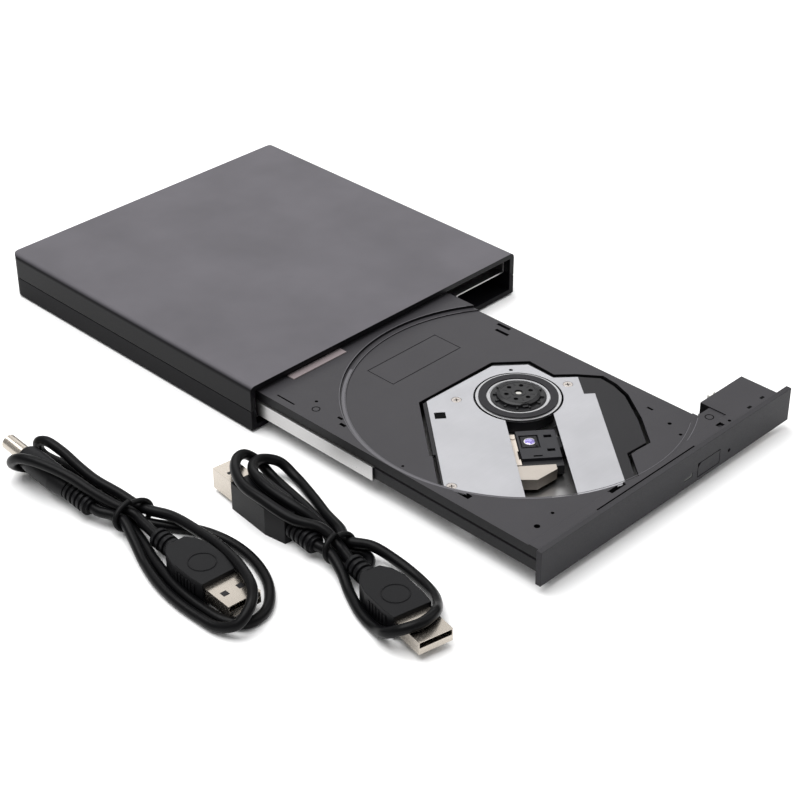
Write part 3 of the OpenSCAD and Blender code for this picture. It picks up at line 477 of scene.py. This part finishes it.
def make_plug_details():
    for label, place, on_cord in (("power", POWER_USB, ON_POWER_CORD), ("data", DATA_USB, ON_DATA_CORD)):
        for i, x in enumerate((-2.9, 2.9)):
            on_cord.append(box_piece(f"{label}_shell_window_{i}",
                                     (x - 1.1, -40.2, 7.1), (x + 1.1, -38, 7.17),
                                     "black_plastic", BODY, place))
        on_cord.append(box_piece(f"{label}_shell_seam", (-0.12, -45, 2.62), (0.12, -33, 2.66),
                                 "black_plastic", BODY, place))
        for side in (-1, 1):
            for i in range(6):
                y = -20 - 1.7 * i
                on_cord.append(box_piece(f"{label}_grip_{side + 1}_{i}", (side * 7.2 - 0.25, y - 0.9, 3),
                                         (side * 7.2 + 0.25, y, 7), "plug_black", BODY, place))
        ring = [(4.2, 8.78), (4.2, 8.95), (4.6, 8.95), (4.6, 8.78)]
        a = math.radians(place[2])
        centre = (place[0] + 24 * math.sin(a), place[1] - 24 * math.cos(a))
        on_cord.append(ring_piece(f"{label}_plug_ring", ring, "plug_black", BODY, centre, 40))
    for i in range(2):
        x = -2.3 + 3.2 * i
        ON_DATA_CORD.append(box_piece(f"usb_b_shell_dent_{i}", (x, 43.6, 8.96), (-0.9 + 3.2 * i, 44.9, 9.02),
                                      "black_plastic", BODY, USB_B))


def make_hub_details():
    def lobes(a):
        return 1.0 + 0.06 * max(0.0, math.cos(3 * a)) ** 8

    ring_piece("hub_flange", [(7.45, 13.31), (9.6, 13.31), (9.6, 13.5), (8.9, 13.62), (7.45, 13.62)],
               "hub_plastic", "spindle", HUB)
    ring_piece("hub_inner_ring", [(10.0, 13.31), (10.7, 13.31), (10.7, 13.5), (10.0, 13.5)],
               "turntable_metal", "spindle", HUB)
    ring_piece("hub_crown", [(5.9, 15.0), (6.5, 15.0), (6.35, 15.14), (6.0, 15.14)],
               "hub_plastic", "spindle", HUB, 72, lobes)
    ring_piece("hub_boss", [(1.25, 15.0), (2.6, 15.0), (2.5, 15.14), (1.4, 15.14)],
               "hub_plastic", "spindle", HUB, 48)
    for i in range(12):
        box_piece(f"hub_rib_{i}", (7.3, -0.35, 13.3), (8.7, 0.35, 14.1), "hub_plastic", "spindle",
                  (*HUB, 30 * i + 9))
    for i in range(6):
        box_piece(f"hub_slot_{i}", (4.0, -0.3, 15.0), (5.6, 0.3, 15.07), "black_plastic", "spindle",
                  (*HUB, 60 * i))
    for i in range(3):
        a = math.radians(120 * i)
        c, s = math.cos(a), math.sin(a)

        def at(rr, w, z):
            return (HUB[0] + rr * c - w * s, HUB[1] + rr * s + w * c, z)

        verts = [at(6.6, -1.1, 14.55), at(6.6, 1.1, 14.55), at(8.0, -0.9, 14.15), at(8.0, 0.9, 14.15),
                 at(6.6, -1.1, 13.95), at(6.6, 1.1, 13.95), at(7.9, -0.9, 13.9), at(7.9, 0.9, 13.9)]
        faces = [(0, 1, 3, 2), (4, 6, 7, 5), (0, 2, 6, 4), (1, 5, 7, 3), (0, 4, 5, 1), (2, 3, 7, 6)]
        add_mesh(f"claw_tip_{i}", verts, faces, "hub_plastic", "spindle")


def make_pickup_details():
    place = (*HUB, SLED_ANGLE)
    # the floor of the plate's window, a dark sheet of painted shade
    box_piece("plate_window_floor", (6.85, -29.55, 12.8), (10.55, -25.85, 12.93),
              "painted_hollow_shade", "tray", place)
    a = math.radians(SLED_ANGLE)
    lens_at = (HUB[0] + LENS_S * math.cos(a), HUB[1] + LENS_S * math.sin(a))
    ring_piece("lens_rim", [(1.15, 11.86), (1.9, 11.7), (1.95, 11.61), (1.15, 11.75)],
               "white_plastic", "lens_mover", lens_at)
    box_piece("lens_yoke", (LENS_S - 2.7, 1.6, 11.55), (LENS_S + 2.8, 2.2, 11.9),
              "black_plastic", "lens_mover", place)
    # a clip on the sled, in the near-black of painted shade
    box_piece("sled_clip", (30.4, -4.9, 11.4), (34.4, -4.1, 11.9), "painted_hollow_shade", "sled", place)


def make_tray_details():
    # lighter bands along the recess's rim and step are edge wear with a painted highlight; the band on the
    # ledge is painted sheen
    arc_piece("recess_rim_wear_and_highlight", (60.5, 60.75), (14.55, 14.63), (60, 300), "edge_wear_and_highlight", "tray", HUB)
    arc_piece("recess_step_edge", (58.5, 58.7), (13.55, 13.63), (62, 298), "edge_wear_and_highlight", "tray", HUB)
    arc_piece("recess_ledge_sheen", (58.8, 59.9), (13.58, 13.62), (118, 232), "edge_wear_and_highlight", "tray", HUB)
    # round pockets moulded into the deck, each a dark ring of painted shade
    for i, (x, y, rr) in enumerate(((-56.1, -25.2, 1.5), (-57.6, -127.4, 1.1), (31.9, -121.9, 1.6))):
        profile = [(rr - 0.35, 14.55), (rr, 14.55), (rr, 14.64), (rr - 0.35, 14.64)]
        ring_piece(f"deck_pocket_{i}", profile, "painted_hollow_shade", "tray", (x, y), 32)
    # two small marks on the deck, in the near-black of painted shade
    for i, (x, y) in enumerate(((53.3, -127.7), (45.5, -128.2))):
        box_piece(f"lobe_mark_{i}", (x - 0.9, y - 0.5, 14.9), (x + 0.9, y + 0.5, 15.04),
                  "painted_hollow_shade", "tray")


make_plug_details()
make_hub_details()
make_pickup_details()
make_tray_details()


# ---- Rounded edges on the plugs, the bezel and the button ----

for node, width in (("power_usb_body", 1.6), ("data_usb_body", 1.6), ("usb_b_plug_body", 1.4),
                    ("power_usb_shell", 0.35), ("data_usb_shell", 0.35), ("usb_b_plug_shell", 0.35),
                    ("bezel", 0.5), ("eject_button", 0.3)):
    bevel = frame["nodes"][node].modifiers.new("rounded", "BEVEL")
    bevel.width = width * MM
    bevel.segments = 3
    bevel.limit_method = "ANGLE"
    bevel.angle_limit = math.radians(50)


# ---- Light and floor ----

def area_light(name, place, aim, size, power):
    data = bpy.data.lights.new(name, "AREA")
    data.shape = "RECTANGLE"
    data.size, data.size_y = size
    data.energy = power
    obj = bpy.data.objects.new(name, data)
    bpy.context.scene.collection.objects.link(obj)
    obj.location = place
    obj.rotation_mode = "QUATERNION"
    obj.rotation_quaternion = (Vector(aim) - Vector(place)).to_track_quat("-Z", "Y")


def make_stage():
    mesh = bpy.data.meshes.new("floor")
    half = 6.0
    mesh.from_pydata([(-half, -half, 0), (half, -half, 0), (half, half, 0), (-half, half, 0)], [],
                     [(0, 1, 2, 3)])
    floor = bpy.data.objects.new("floor", mesh)
    bpy.context.scene.collection.objects.link(floor)
    n = Nodes("floor_paper")
    tint = n.mix(n.ramp(n.noise(6), 0.0, 1.0), (0.9, 0.9, 0.9), (0.93, 0.93, 0.93))
    n.link(tint, 2, n.shader, "Base Color")
    n.shader.inputs["Roughness"].default_value = 0.9
    mesh.materials.append(n.material)
    world = bpy.data.worlds.new("studio")
    bpy.context.scene.world = world
    world.use_nodes = True
    world.node_tree.nodes["Background"].inputs["Color"].default_value = (1, 1, 1, 1)
    world.node_tree.nodes["Background"].inputs["Strength"].default_value = 0.42
    area_light("key", (-0.3, 0.3, 1.5), (0, 0, 0), (1.5, 1.5), 34)
    area_light("fill", (0.9, -0.5, 1.1), (0, 0, 0), (1.2, 1.2), 6)
    area_light("rim", (0.95, 1.15, 0.9), (0, 0.1, 0), (1.3, 0.8), 4)


make_stage()
bpy.context.scene.view_settings.view_transform = "Standard"
